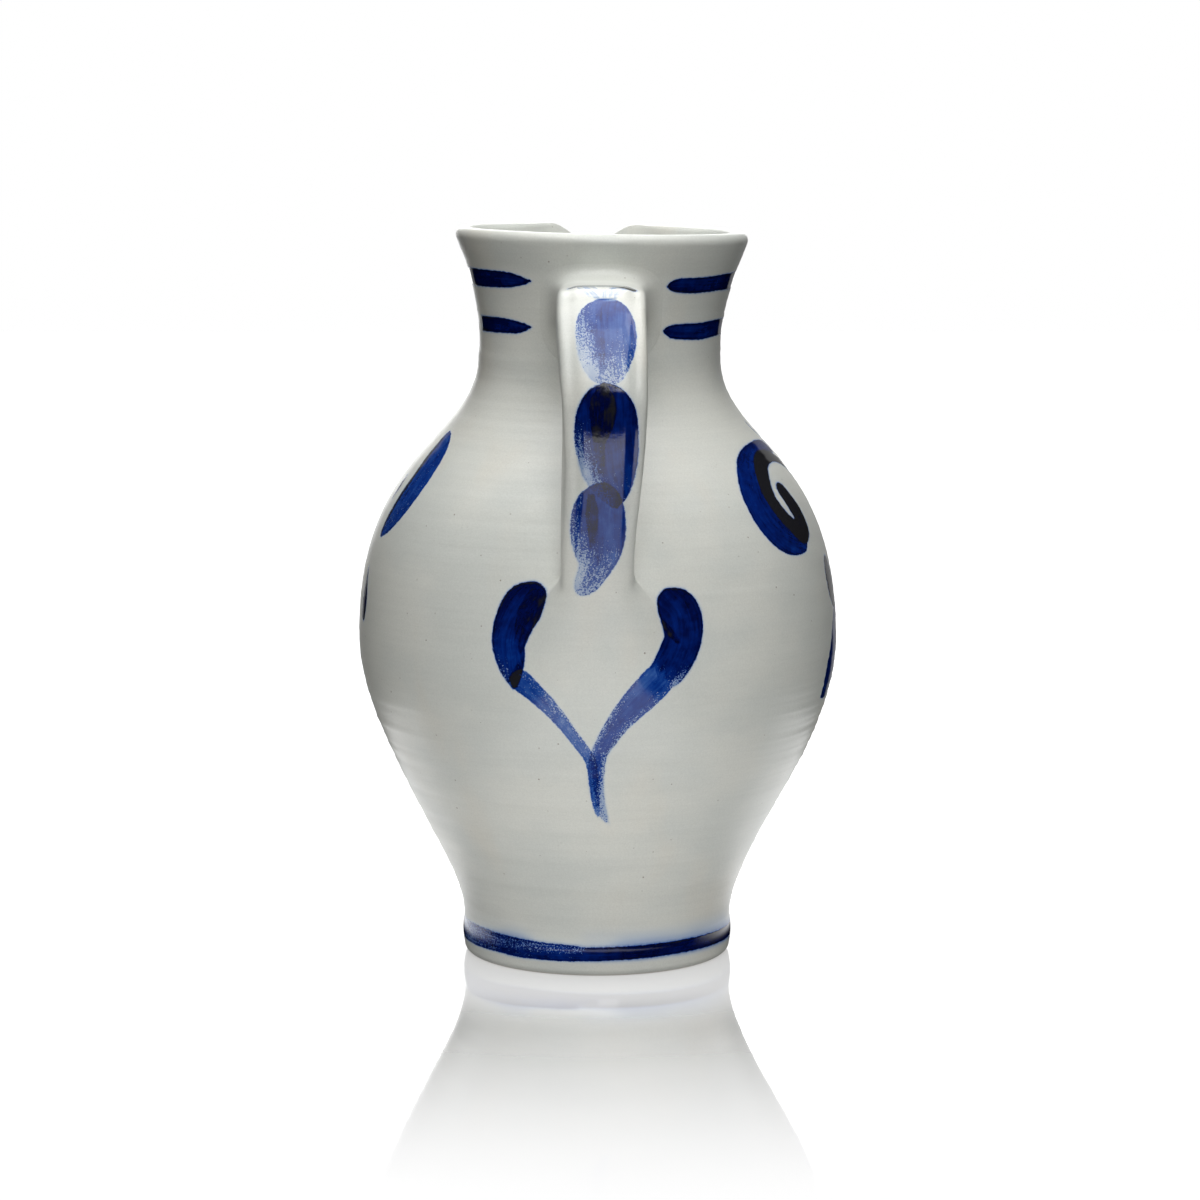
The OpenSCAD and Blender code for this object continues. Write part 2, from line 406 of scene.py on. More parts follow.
def rail_of(top_z, root_z, out_r, shares, landing, end):
    """One rail, as three curves of four points: from the neck, over the bow, and down to the belly."""
    level_share, upright_share, hang_share = shares
    root_r = neck_r - let_in
    crest, mid = [crest_r, top_z], [out_r, handle_mid_z]
    return [[[root_r, root_z], [mix(root_r, crest_r, root_level_share), top_z],
             [mix(root_r, crest_r, root_crest_share), top_z], crest],
            [crest, [mix(crest_r, out_r, level_share), top_z],
             [out_r, handle_mid_z + upright_share*(crest_z - handle_mid_z)], mid],
            [mid, [out_r, handle_mid_z - hang_share*tail_down], landing, end]]


tail_down = handle_mid_z - pad_low_z
sunk_r = belly_r - pad_let_in
grip_z = crest_z - strap_t
back_rail = rail_of(crest_z, crest_z + let_in/2, handle_reach, back_shares,
                    [belly_r + pad_let_in, pad_low_z + back_landing_share*tail_down],
                    [sunk_r, pad_low_z])
grip_rail = rail_of(grip_z, grip_z - let_in, handle_reach - strap_t, grip_shares,
                    [sunk_r, pad_low_z + grip_landing_share*tail_down],
                    [belly_r - 2*let_in, pad_low_z + let_in])


def along(rail, t):
    t = np.asarray(t, float)
    k = np.clip(np.floor(t), 0, 2).astype(int)
    return curve(*np.moveaxis(np.array(rail)[k], -2, 0), t - k)


rail_t = np.linspace(0, 3, rail_steps)
rail_points = along(back_rail, rail_t)
rail_arc = arc_length(rail_points)
rail_arc = rail_arc - np.interp(1, rail_t, rail_arc)

# The strap's section: rounded edges with a faint groove beside them, as fingers leave it

groove_depth = 0.42
groove_in = 2.9
groove_half_w = 1.5
groove_from_t = (0.6, 1.1)
groove_to_t = (2.25, 2.85)
edge_round_power = 4.2
round_near_pot_power = 3.0


def strap_point(t, i):
    """Points on the strap's skin. i is the angle round its section: 90 is the middle of the back."""
    t, i = np.broadcast_arrays(np.asarray(t, float), np.asarray(i, float))
    back = along(back_rail, t)
    grip = along(grip_rail, t)
    z = back[..., 1]
    slim = mix(strap_low_w, strap_top_w, rise(z, (pad_top_z, crest_z)))
    spread = np.where(t < 2, 0, smooth((pad_top_z - z)/(pad_spread_share*pad_len)))
    w = mix(slim, pad_w, spread)
    near_pot = np.where(t < 1, 1 - t, np.maximum(0, t - 2))
    power = mix(edge_round_power, root_power, near_pot**round_near_pot_power)
    c, s = np.cos(np.radians(i)), np.sin(np.radians(i))
    x = np.sign(c)*np.abs(c)**(2/power)*w/2
    y = np.sign(s)*np.abs(s)**(2/power)
    half = (back - grip)/2
    size = np.linalg.norm(half, axis=-1)
    from_edge = w/2 - np.abs(x)
    groove = groove_depth*np.exp(-((from_edge - groove_in)/groove_half_w)**2)
    groove = groove*(y > 0)*rise(t, groove_from_t)*(1 - rise(t, groove_to_t))
    y = y - groove/np.maximum(size, 0.5)
    p = (back + grip)/2 + y[..., None]*half
    out = p[..., 0]
    turn = x/np.maximum(out, 1)
    return np.stack([mix(x, out*np.sin(turn), near_pot),
                     -mix(out, out*np.cos(turn), near_pot), p[..., 1]], -1)


section_turns = np.arange(strap_sides)*TURN/strap_sides

# How the strap is joined. A weld's length along the strap is given at the strap's edges, and how
# much it gains at the back and at the grip. Its widths on the pot are (sideways, up, down). Each
# joint is looked for over a span of t in a number of steps, and its ring is smoothed some times.

root_span = (0.0, 0.9, 700)
root_smoothing = 3
root_lengths = (8.0, -2.5, 0.5)
root_widths = (5.5, 4.2, 11.0)
root_lift = 0.62
tail_span = (2.0, 3.0, 900)
tail_smoothing = 4
tail_lengths = (3.0, 7.0, 1.5)
tail_widths = (1.6, 2.2, 9.0)
tail_lift = 0.60
tail_start_t = 2.05
direction_smoothing = 6
landing_hint = 0.5
most_line_steps = 400
luting_end_t = 0.76
strap_start_t = 0.60
strap_hidden_share = 0.8
sunk_depth = 1.6
luting_skin = 0.08
tail_skin = 0.06
luting_drawn = 0.12
strap_drawn = 0.35


def crossing(ts, inside_first):
    """For each line along the strap, the t at which it passes through the pot's surface."""
    d = pot_distance(strap_point(ts[:, None], section_turns[None, :]))
    is_out = d > 0
    j = is_out.argmax(0) - 1 if inside_first else len(ts) - 1 - is_out[::-1].argmax(0)
    line = np.arange(strap_sides)
    d0, d1 = d[j, line], d[j + 1, line]
    return mix(ts[j], ts[j + 1], d0/(d0 - d1))


def smoothed_ring(v, times):
    for _ in range(times):
        v = (np.roll(v, 1, axis=0) + 2*v + np.roll(v, -1, axis=0))/4
    return v


def ring_direction(ring):
    """A ring on the pot laid flat as [across, up], and which way each point faces out of it."""
    flat = np.stack([np.arctan2(ring[:, 0], -ring[:, 1])*out_from_axis(ring),
                     pot_arc(ring[:, 2])], -1)
    run = smoothed_ring(np.roll(flat, -1, axis=0) - np.roll(flat, 1, axis=0), direction_smoothing)
    side = unit(np.stack([run[:, 1], -run[:, 0]], -1))
    if ((flat - flat.mean(0))*side).sum() < 0:
        side = -side
    return flat, side


def on_pot(flat, r):
    """Points laid flat at the radius r, put back on the pot's outside."""
    z = np.interp(flat[:, 1], outline_arc, outline[:, 1])
    return around(np.degrees(flat[:, 0]/r), pot_radius(z), z)


def weld(t_joint, reach_t, widths, lift_share):
    """Rings from the strap's skin down to the pot, in a hollow curve that meets both flush.

    reach_t holds the t at which each line leaves the strap, and widths how far its curve
    runs out on the pot: (sideways, up, down)."""
    joint = strap_point(t_joint, section_turns)
    joint_r = out_from_axis(joint)
    flat, side = ring_direction(joint)
    sideways, up, down = widths
    vertical = np.where(side[:, 1] > 0, up, down)
    run = np.hypot(sideways*side[:, 0], vertical*side[:, 1])
    foot_flat = flat + run[:, None]*side
    foot = on_pot(foot_flat, joint_r)
    back = on_pot(foot_flat - landing_hint*side, joint_r)
    start = strap_point(reach_t, section_turns)
    ahead = strap_point(reach_t + line_step*np.sign(t_joint - reach_t), section_turns)
    len0 = np.linalg.norm(joint - start, axis=-1, keepdims=True)*lift_share
    len3 = np.linalg.norm(joint - foot, axis=-1, keepdims=True)*lift_share
    rings = [curve(start, start + unit(ahead - start)*len0, foot + unit(back - foot)*len3, foot, u)
             for u in np.linspace(0, 1, join_steps + 1)]
    return rings, foot


def sunk(ring, depth):
    """The ring moved into the pot by a depth, square to its wall."""
    r = out_from_axis(ring)
    n = unit(np.stack([ring[:, 0]/r, ring[:, 1]/r, -pot_slope(ring[:, 2])], -1))
    return ring - depth*n


def drawn_in(ring, depth):
    return ring - unit(ring - ring.mean(0))*depth


def leaving(t_joint, lengths, towards):
    """The t on each line that lies a length before the joint, measured along the line."""
    t = t_joint.copy()
    left = lengths.copy()
    step = line_step*towards
    for _ in range(most_line_steps):
        move = np.linalg.norm(strap_point(t + step, section_turns)
                              - strap_point(t, section_turns), axis=-1)
        part = np.clip(left/np.maximum(move, 1e-6), 0, 1)
        t = t + step*part
        left = left - part*move
    return t


def luting_rings(up_share, low_share):
    t_root = smoothed_ring(crossing(np.linspace(*root_span), True), root_smoothing)
    edge, back, grip = root_lengths
    t_leave = leaving(t_root, edge + back*up_share + grip*low_share, 1)
    weld_rings, foot = weld(t_root, t_leave, root_widths, root_lift)
    rings = [sunk(foot, sunk_depth), sunk(foot, luting_skin)] + weld_rings[::-1][1:]
    for share in np.arange(1, luting_steps + 1)/luting_steps:
        ring = strap_point(mix(t_leave, luting_end_t, share), section_turns)
        rings.append(drawn_in(ring, luting_drawn*smooth(share)))
    return np.stack(rings)


def strap_rings(up_share, low_share):
    t_tail = smoothed_ring(crossing(np.linspace(*tail_span), False), tail_smoothing)
    edge, back, grip = tail_lengths
    lengths = edge + back*up_share**2 + grip*low_share
    t_end = np.maximum(leaving(t_tail, lengths, -1), tail_start_t)
    weld_rings, foot = weld(t_tail, t_end, tail_widths, tail_lift)
    rings = []
    for t in np.linspace(strap_start_t, 2.0, bow_steps + 1):
        hidden = 1 - smooth((t - strap_start_t)/(luting_end_t - strap_start_t)*strap_hidden_share)
        rings.append(drawn_in(strap_point(t, section_turns), strap_drawn*hidden))
    for share in np.arange(1, drop_steps + 1)/drop_steps:
        rings.append(strap_point(mix(2.0, t_end, share), section_turns))
    return np.stack(rings + weld_rings[1:-1] + [sunk(foot, tail_skin), sunk(foot, sunk_depth)])


# Mesh making

def linked(name, data):
    thing = bpy.data.objects.new(name, data)
    bpy.context.scene.collection.objects.link(thing)
    return thing


def all_points(rows, ends):
    return np.vstack([rows.reshape(-1, 3), *ends])


def ring_mesh(name, rows, ends, flip):
    """A closed skin over rings of points, with a point in the middle of each end."""
    n_rows, n = rows.shape[:2]
    j = np.arange(n_rows - 1)[:, None]*n
    i = np.arange(n)[None, :]
    m = (i + 1) % n
    quads = np.stack([j + i, j + m, j + n + m, j + n + i], -1).reshape(-1, 4)
    k, k2, top = i[0], m[0], (n_rows - 1)*n
    start_fan = np.stack([np.full(n, n_rows*n), k2, k], -1)
    end_fan = np.stack([np.full(n, n_rows*n + 1), top + k, top + k2], -1)
    faces = quads.tolist() + start_fan.tolist() + end_fan.tolist()
    mesh = bpy.data.meshes.new(name)
    mesh.from_pydata((warp(all_points(rows, ends))*MM).tolist(), [],
                     [face[::-1] if flip else face for face in faces])
    mesh.validate()
    mesh.polygons.foreach_set("use_smooth", [True]*len(mesh.polygons))
    mesh.update()
    return linked(name, mesh)


# Brush strokes, and painted shade along the handle pad's creases laid as strokes. Each has its line as
# (place across, place along, half its width), in millimetres, except that on the pot the first is an
# angle and the second a height.
# load: how much pigment the brush carries. dry: how much of the clay shows through it. left and
# right: how much more shows through at that side, as the brush goes. These may change along the
# stroke, where they hold several values. square: whether its first end is cut off square.

def stroke(points, load=0.8, dry=0.0, left=0.0, right=0.0, square=False):
    return {"points": points, "load": load, "dry": dry, "left": left, "right": right, "square": square}


left_comma = stroke([
    (-15.3, 101.7, 3.8), (-17.2, 99.5, 5.4), (-18.8, 96.7, 5.3), (-20.1, 93.2, 4.9), (-20.7, 89.8, 4.4),
    (-20.3, 86.4, 3.9), (-19.9, 82.7, 2.6), (-19.5, 79.7, 1), (-19.3, 78.5, 0.3)],
    load=(0.92, 0.82, 0.68, 0.76), dry=(0, 0.2, 0.45), right=(0, 0.2, 0.4))
right_comma = stroke([
    (17.5, 100.1, 3.8), (19, 98.2, 5.3), (19.9, 95.1, 5.5), (19.9, 91.5, 5.1), (18.8, 88.2, 5),
    (17.3, 85.2, 4.8), (16, 83.2, 4.3), (15.1, 82, 3.2)], load=(0.88, 0.8, 0.78, 0.72),
    dry=(0, 0.1, 0.2, 0.45), left=(0, 0, 0.2, 0.4))
right_tail = stroke([
    (14.8, 82.2, 3.6), (13.6, 80.8, 4.1), (10.8, 77.6, 4), (7.4, 73.7, 3.5), (4.5, 69.9, 2.9),
    (1.8, 65.3, 2.4), (0.1, 61.8, 2.1), (-0.6, 57.5, 2.1), (-0.5, 52.8, 1.8), (0.3, 48.6, 1.6),
    (1.5, 45.5, 1.2), (3.6, 42.3, 0.1)], load=(0.5, 0.54, 0.58, 0.58, 0.54, 0.46),
    dry=(0.2, 0.3, 0.4, 0.45, 0.6, 0.75), left=(0.3, 0.35, 0.3), right=(0.1, 0.35, 0.4, 0.3))
left_thin = stroke([
    (-17.7, 80.7, 2.9), (-14.8, 78, 2.5), (-12.5, 75.6, 2.3), (-9.7, 72.2, 1.9), (-7, 68.3, 1.6),
    (-4.4, 64.3, 1.5), (-2.3, 61, 1.4), (-1.5, 57.5, 1.3), (-1.1, 53, 1.2), (-0.6, 49, 1), (0, 46, 0.7),
    (0.9, 43.4, 0.1)], load=(0.5, 0.5, 0.48, 0.44, 0.36, 0.34), dry=(0.4, 0.5, 0.45, 0.4, 0.6),
    left=(0.15, 0.2, 0.15))
# Painted shade: faint darker lines along the creases where the handle's pad meets the pot, over the commas'
# inner edges.
pad_crease_shade = [
    stroke([(-14.4, 101.8, 2.2), (-15.9, 98.2, 2.8), (-17, 93.6, 2.4), (-18, 89.4, 1.2)],
        load=(0.14, 0.16, 0.14)),
    stroke([(-17.2, 87.4, 0.2), (-18.2, 84, 0.9), (-19.4, 80.6, 1.5), (-19.7, 79.1, 0.8)], load=0.28),
    stroke([(15, 95.9, 0.2), (16.2, 93.8, 0.9), (17.8, 91.6, 0.8), (19.2, 89.6, 0.2)], load=0.26),
]

foot_band_far = stroke([
    (-184, 6, 1.5), (-150, 6.1, 1.7), (-110, 5.9, 1.7), (-67, 5.9, 1.75), (-46, 6, 1.75),
    (-35, 5.7, 1.75), (-16, 5.8, 1.8), (0, 6.1, 1.8), (17, 6.3, 1.75), (40, 6.5, 1.7), (63, 6.4, 1.65),
    (100, 6, 1.6), (128, 5.8, 1.2)], load=(0.75, 0.75, 0.72, 0.7, 0.72, 0.76, 0.76, 0.74, 0.7),
    dry=(0.2, 0.2, 0.35, 0.66, 0.42, 0.22, 0.2, 0.25, 0.4))
foot_band_near = stroke([
    (118, 5.6, 1.3), (130, 5.8, 1.6), (160, 6, 1.6), (180, 6.1, 1.5), (188, 6.2, 0.8)], load=0.7,
    dry=(0.1, 0.6))
foot_band_second = stroke([
    (-84, 7.2, 1.9), (-66, 7.4, 2.1), (-50, 7.2, 2.1), (-34, 6.8, 2), (-12, 6.5, 1.8), (2, 6.4, 0.8)],
    load=(0.64, 0.66, 0.72), dry=(0.75, 0.66, 0.6, 0.66))

neck_strokes = [
    stroke([(-84, 177.6, 2), (-72.8, 177.6, 2.2), (-47.7, 177.7, 2.1), (-40, 177.7, 1.6),
        (-35, 177.6, 0.9), (-31.6, 177.7, 0.2)], load=(0.98, 0.84, 0.8), right=0.3),
    stroke([(-76, 166, 1.8), (-69.7, 166, 1.9), (-52.9, 166.1, 1.9), (-42, 165.9, 1.5), (-37, 166, 0.8),
        (-33.8, 166.1, 0.2)], load=(1, 0.82, 0.8), right=0.3, square=True),
    stroke([(29.2, 177, 0.2), (31.5, 177, 1.2), (35.5, 177, 1.9), (45.8, 176.9, 2.1), (62, 177.3, 2.2),
        (80, 177.5, 2.3), (92, 177.6, 2.1)], load=(0.86, 0.84, 0.92)),
    stroke([(30.2, 165.3, 0.2), (33, 165.2, 1.2), (37.5, 165, 1.9), (52.6, 164.7, 2.2),
        (66, 165.1, 2.2), (77, 165.2, 2.1), (84, 165.2, 2)], load=(0.82, 0.8, 0.86), right=0.2),
]

volute_right = stroke([
    (84, 133.6, 1.6), (76, 134.3, 2.4), (66.5, 133.6, 3.2), (59.2, 131.6, 4.6), (54.6, 128.6, 5.8),
    (51.4, 124, 6.2), (52, 119, 6.4), (55.2, 115.4, 6.2), (59, 113.3, 5), (63, 112.2, 3.6)], load=0.76,
    dry=(0.45, 0))
volute_right_dark = stroke([
    (90, 124.5, 0.5), (86, 128.3, 1.2), (80.5, 131, 1.7), (72.7, 132.3, 2), (64.2, 131.6, 2.4),
    (58.4, 128, 2.6), (56.3, 123.4, 2.5), (57.9, 119.2, 2.4), (61.2, 115.8, 2.4), (64.8, 113.7, 3),
    (67.4, 115.2, 3.3), (67.4, 118.2, 3.3), (66.3, 121, 3.1), (65.2, 123.8, 2.8)], load=1.12)
leaf_left = stroke([
    (-72, 138.4, 0.4), (-69, 135.5, 3.2), (-66.6, 131.5, 5.2), (-65.4, 126.8, 5.3), (-67, 121.6, 5.2),
    (-69.8, 116.8, 3.8), (-73.4, 112.6, 1.2)], load=0.6, dry=(0.35, 0.5))
leaf_left_dark = stroke([
    (-73, 137.8, 0.3), (-72.4, 133.4, 0.8), (-71.3, 128.4, 0.8), (-72.1, 122.6, 0.8), (-73.4, 117, 0.8),
    (-74.4, 112.8, 0.5)], load=0.95)
curl_left = stroke([(-79.6, 126.8, 0.3), (-79.1, 124.4, 1), (-79.3, 121.2, 0.4)], load=0.95)

drop_left = stroke([
    (-77.2, 103.6, 0.3), (-76.2, 99.5, 1), (-76.1, 95, 2.4), (-76.4, 91.4, 1.8)], load=1)
leaf_low_left = stroke([(-86, 80, 0.8), (-88.5, 74, 2.6), (-88, 67.5, 2.2), (-84.4, 62, 0.3)])
drop_right = stroke([(79, 106, 0.4), (78.6, 103, 3), (79.4, 99.3, 4.4), (80.6, 95.8, 3)], load=1.05)
leaf_low_right = stroke([
    (84, 93, 0.5), (82, 88.5, 4), (80, 82, 6.2), (77.6, 76.5, 6.3), (75, 73, 3.6), (72, 70.3, 0.4)],
    load=0.72)
whisker_right = stroke([
    (80.6, 140.2, 0.3), (83, 138.2, 0.5), (88, 135.2, 0.8), (97, 133.5, 0.6)], load=0.85)

# The side with the lip isn't in the photo. A common mirrored scroll with leaves and a bud joins
# the volutes at both sides.

def mirrored(points):
    return [(TURN - a, z, w) for a, z, w in points]


front_half = [
    stroke([(96, 128, 2.4), (104, 133, 4), (115, 134.2, 4.6), (125, 129, 4.8), (129, 120.5, 4.2),
        (124, 112.5, 3.4), (115, 110.8, 2.6), (110, 115.5, 1.8)]),
    stroke([(170, 70, 2), (158, 74.5, 3), (146, 83, 3.4), (137, 94, 3.2), (132, 104, 2.2),
        (131, 110, 0.6)], load=0.78, dry=(0, 0.3)),
    stroke([(150, 99, 0.5), (143, 96, 3), (136.5, 87.5, 4.4), (134.5, 79, 3.4), (136, 71.5, 0.8)],
        load=0.86),
    stroke([(104, 96, 0.4), (109, 91.5, 3.4), (111.5, 83.5, 4.6), (109.5, 75.5, 3.6), (104, 69, 0.8)],
        load=0.86),
    stroke([(176, 58, 0.4), (166, 56, 2.4), (154, 57.5, 3.6), (143, 61.5, 2.6), (136, 65.5, 0.6)]),
]
front_half_dark = [
    stroke([(99, 127, 0.6), (106, 130.5, 1.5), (115, 131, 1.9), (122, 127, 2), (125, 120.5, 1.8),
        (121.5, 114.4, 1.5)], load=1),
    stroke([(144, 94.5, 0.5), (138.5, 87, 1.5), (136.2, 79, 1.2), (136.4, 73.5, 0.4)], load=1),
    stroke([(107.5, 92.5, 0.5), (113, 83.5, 1.6), (110.5, 76, 1), (107, 71.5, 0.3)], load=1),
]
front_middle = [
    stroke([(180, 128, 0.6), (180, 121.5, 4.4), (180, 112.5, 6), (180, 104, 4.4), (180, 97.5, 1)]),
    stroke([(180, 94, 1.6), (180, 84, 1.8), (180, 72, 2), (180, 60, 1.8), (180, 48, 0.5)],
        dry=(0, 0.6)),
]
front_petals = [
    stroke([(168, 126, 0.5), (164.5, 119.5, 3), (165.5, 111, 4), (170.5, 103.5, 2.8), (176, 98.5, 0.8)],
        load=0.9),
    stroke([(152, 118, 0.5), (153, 111, 2.6), (158.5, 104, 3.2), (166, 98.5, 2.2), (174, 96, 0.7)],
        load=0.82),
]


def with_mirror(strokes):
    return strokes + [dict(s, points=mirrored(s["points"])) for s in strokes]


pot_layers = [
    [left_comma, right_comma, right_tail, curl_left, foot_band_far, foot_band_second, volute_right,
     leaf_left, drop_left, leaf_low_left, drop_right, leaf_low_right, whisker_right]
    + neck_strokes + with_mirror(front_half) + front_middle,
    [left_thin, foot_band_near, volute_right_dark, leaf_left_dark]
    + with_mirror(front_half_dark) + with_mirror(front_petals),
    pad_crease_shade,
]

# On the strap: across from its middle, length down its back from the crest, half the width

# A near-black line across the strap where it turns down from the neck.
crest_line = stroke([
    (-7.7, 0.6, 0.6), (-6, -0.6, 1.9), (-3.5, -1.6, 2.6), (0.5, -2, 2.9), (4.5, -1, 2.7), (6.4, 1, 2),
    (7.5, 2.8, 0.7)], load=1.1)
crest_wash = [
    stroke([(-4.9, -0.6, 1.8), (-3.4, 3.6, 2.2), (-1.2, 8.8, 1.8)], load=(0.12, 0.09)),
    stroke([(5.4, 0.8, 1.8), (3.8, 4.4, 2.1), (1.8, 9.2, 1.8)], load=(0.12, 0.09)),
]
strap_drop_high = stroke([
    (1.5, 12.4, 2.6), (1.1, 15, 5.4), (0.9, 18.5, 7.1), (0.8, 22.5, 7.3), (0.6, 26.3, 6.6),
    (0.7, 29.2, 5.3), (0.8, 31.4, 3.4)], load=(0.58, 0.48, 0.5), dry=(0.2, 0.4, 0.75), left=(0.4, 0.35))
strap_drop_middle = stroke([
    (0.7, 36.8, 3), (0.35, 38.6, 4.9), (0.4, 41.5, 7), (0.4, 44.5, 7.6), (0.45, 48, 7.7),
    (0.8, 51.2, 7.4), (1.1, 54.5, 6.8), (1.8, 57.5, 5.6), (2.5, 60.5, 4), (2.9, 63, 2.2),
    (3.1, 65, 0.8)], load=(0.84, 0.74, 0.66, 0.66), dry=(0.1, 0.25, 0.35, 0.4), left=(0, 0.3, 0.7, 0.6))
strap_drop_low = stroke([
    (-0.3, 61, 2.4), (-0.6, 63.4, 4.6), (-0.9, 66.1, 6.1), (-0.7, 69.6, 6.7), (-0.35, 73.4, 6.6),
    (-0.1, 76.6, 5.7), (-0.3, 79.4, 4.5), (-1.2, 82.2, 3.7), (-2.3, 84.6, 3.2), (-3.5, 86.4, 2.2),
    (-4.3, 87.4, 1)], load=(0.62, 0.6, 0.55), dry=(0.1, 0.3, 0.55, 0.8), left=(0.4, 0.3))
brush_trails = [
    stroke([(-1.2, 10.5, 0.8), (-1.4, 16, 1.6), (-1.3, 22, 1.7), (-1.1, 29, 1.5), (-1, 33.5, 0.8)],
        load=0.25),
    stroke([(-0.6, 35.8, 1.8), (-0.4, 38.6, 3), (-0.5, 42, 3.1), (-0.9, 46, 2.2), (-1.3, 49, 1.4),
        (-1.4, 56, 1.3), (-1.4, 60, 0.9)], load=(0.34, 0.34, 0.4, 0.45)),
    stroke([(-3, 62.5, 0.8), (-2.4, 66.8, 1.6), (-1.8, 71, 1.4), (-1.2, 76, 1), (-0.2, 81, 0.5)],
        load=(0.35, 0.25)),
]
strap_layers = [[strap_drop_high, strap_drop_low] + crest_wash, [crest_line, strap_drop_middle],
                brush_trails]

# How strokes are laid on a mesh, in millimetres. Strokes lie apart in the bristle marks' texture,
# so that no two of them share their marks.

paint_margin = 6.0
narrowest_r = 30.0
line_steps = 22
least_half_w = 0.05
square_end_in = 0.8
apart_along = 37.0
apart_across = 11.0
numbers_per_layer = 20
points_at_once = 4000
pad_paint_reach = 6.0
pad_paint_top_z = 110.0


def brushed(points):
    """A stroke's few points as a dense smooth line."""
    p = np.array(points, float)
    n = len(p)
    ends = np.vstack([2*p[0] - p[1], p, 2*p[-1] - p[-2]])
    t = np.linspace(0, n - 1, line_steps*(n - 1))
    k = np.minimum(t.astype(int), n - 2)
    s = (t - k)[:, None]
    a, b, c, d = (ends[k + m] for m in range(4))
    line = 0.5*(2*b + (c - a)*s + (2*a - 5*b + 4*c - d)*s**2 + (3*b - a - 3*c + d)*s**3)
    line[:, 2] = np.maximum(line[:, 2], least_half_w)
    return line


def changing(values, share):
    """A value that changes evenly along a stroke."""
    values = np.atleast_1d(values)
    return np.interp(share, np.linspace(0, 1, len(values)), values)


def lay_stroke(spec, number, place, radius, store):
    """Adds one stroke to a layer: how far inside it each point is, and where along and across.

    Each place is [angle, length up the outline] at a radius on the pot, and [across, along]
    with no radius on the strap."""
    line = brushed(spec["points"])
    half = line[:, 2]
    line_x, line_y, scale = line[:, 0], line[:, 1], np.ones(len(place))
    if radius is not None:
        line_x, line_y = np.radians(line_x)*pot_radius(line_y), pot_arc(line_y)
        scale = np.radians(radius)
    run = arc_length(np.stack([line_x, line_y], -1))
    tangent = unit(np.stack([np.gradient(line_x), np.gradient(line_y)], -1))
    reach = half.max() + paint_margin
    spare = reach/np.radians(narrowest_r)
    near_y = (place[:, 1] > line_y.min() - reach) & (place[:, 1] < line_y.max() + reach)
    for shift in (-TURN, 0.0, TURN):
        x = place[:, 0] + shift
        near = np.flatnonzero(near_y & (x > line[:, 0].min() - spare) & (x < line[:, 0].max() + spare))
        for part in np.array_split(near, len(near)//points_at_once + 1):
            dx = (x[part][:, None] - line[:, 0])*scale[part][:, None]
            dy = place[part, 1][:, None] - line_y
            inside = half - np.hypot(dx, dy)
            best = inside.argmax(1)
            pick = np.arange(len(part)), best
            dx, dy, (tx, ty) = dx[pick], dy[pick], tangent[best].T
            edge = inside[pick] + paint_margin
            length = run[best] + dx*tx + dy*ty
            side = dx*ty - dy*tx
            if spec["square"]:
                edge = np.minimum(edge, length - square_end_in + paint_margin)
            share = np.clip(length/run[-1], 0, 1)
            lateral = side/half[best]
            dry = (changing(spec["dry"], share) + changing(spec["right"], share)*smooth(lateral)
                   + changing(spec["left"], share)*smooth(-lateral))
            values = {"edge": edge, "along": length + apart_along*number,
                      "across": side + apart_across*number,
                      "load": changing(spec["load"], share), "dry": np.minimum(dry, 1.0)}
            better = edge > store["edge"][part]
            for key, value in values.items():
                store[key][part[better]] = value[better]


def lay_layer(strokes, place, radius, number):
    store = {key: np.zeros(len(place)) for key in ("edge", "along", "across", "load", "dry")}
    for k, spec in enumerate(strokes):
        lay_stroke(spec, k + 1 + numbers_per_layer*number, place, radius, store)
    return store


def store_paint(piece, layers):
    """Keeps each layer on the mesh: where the stroke is, and how its brush was loaded."""
    for k, store in enumerate(layers):
        where = [store["edge"], store["along"], store["across"]]
        how = [store["load"], store["dry"], np.zeros_like(store["load"])]
        for name, values in (("stroke", where), ("brush", how)):
            kept = piece.data.attributes.new("%s_%d" % (name, k + 1), "FLOAT_VECTOR", "POINT")
            kept.data.foreach_set("vector", np.stack(values, -1).astype(np.float32).ravel())


# Materials. Every texture is laid in millimetres on the object, and so turns with it.

class Wire:
    """The output of a node. A sum or product with it adds a Math node."""

    def __init__(self, nodes, socket):
        self.nodes = nodes
        self.socket = socket

    def __add__(self, other):
        return self.nodes.math("ADD", self, other)

    def __sub__(self, other):
        return self.nodes.math("SUBTRACT", self, other)

    def __rsub__(self, other):
        return self.nodes.math("SUBTRACT", other, self)

    def __mul__(self, other):
        return self.nodes.math("MULTIPLY", self, other)

    def __truediv__(self, other):
        return self.nodes.math("DIVIDE", self, other)


